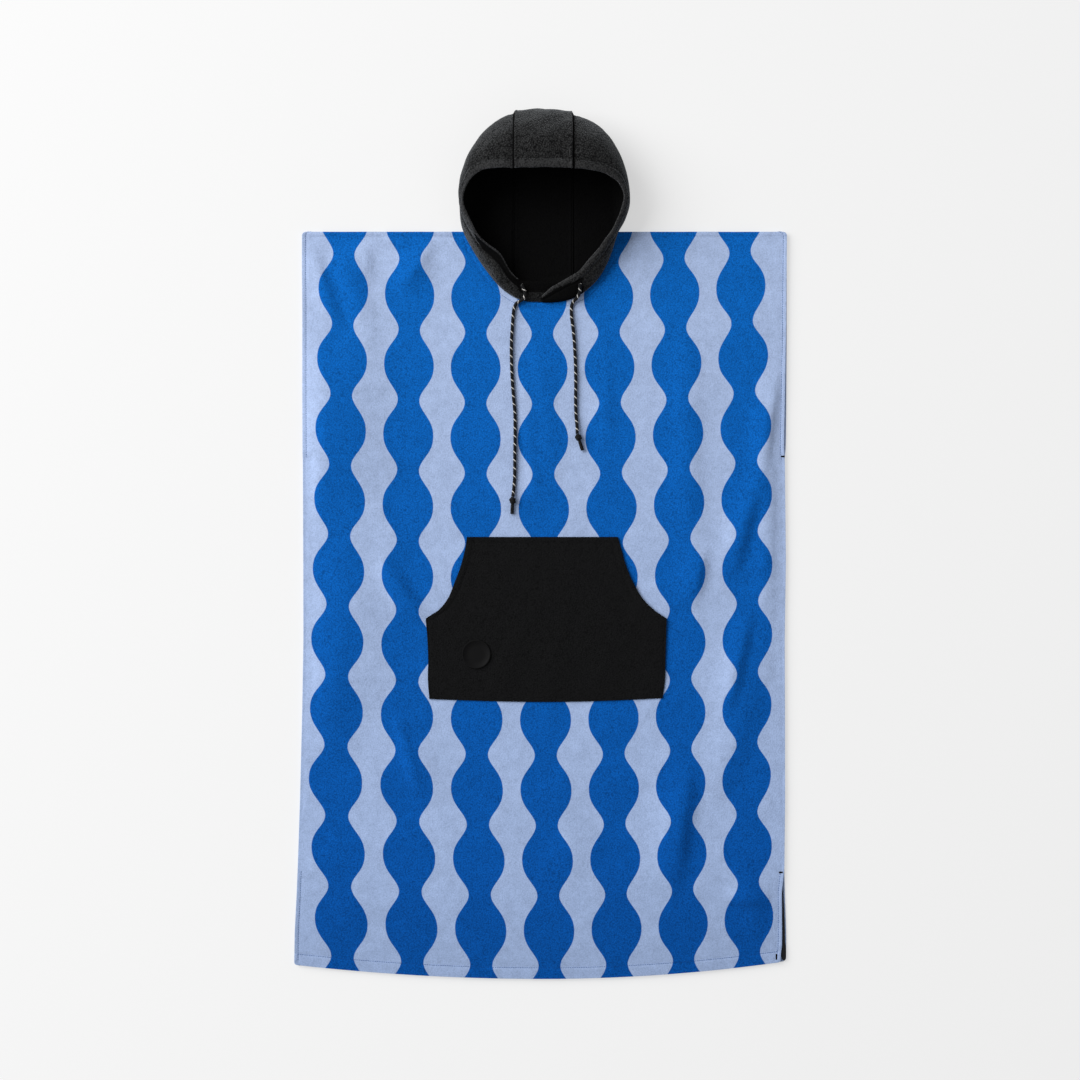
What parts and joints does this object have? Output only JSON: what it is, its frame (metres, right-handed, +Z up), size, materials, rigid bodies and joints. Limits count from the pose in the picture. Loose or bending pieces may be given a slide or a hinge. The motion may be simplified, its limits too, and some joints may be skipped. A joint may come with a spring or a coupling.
{
  "type": "hooded bath poncho",
  "caption": "Towelling changing poncho laid flat, with an open hood, drawcord ends, a front pouch pocket and side slits.",
  "frame": {"origin": "centre of the bounding box's bottom face, on the surface that the poncho lies on", "axes": "+Z up from the surface, +Y from the hem to the hood, +X to the right as seen from above"},
  "size_m": [0.7382, 1.2969, 0.0915],
  "materials": {
    "towelling": "cut-pile towelling with bulging light and strong blue stripes",
    "hood_fleece": "matt black looped towelling",
    "patch_rubber": "matt black moulded rubber, bare",
    "cord": "black braided cord with pale flecks"
  },
  "bodies": {
    "root": {"back_panel": "towelling", "front_panel": "towelling", "hood_centre": "hood_fleece", "hood_left": "hood_fleece", "hood_right": "hood_fleece", "pocket": "hood_fleece", "patch": "patch_rubber", "slit_tape": "cord", "left_cord": "cord", "right_cord": "cord", "left_knot": "cord", "right_knot": "cord"}
  },
  "joints": []
}
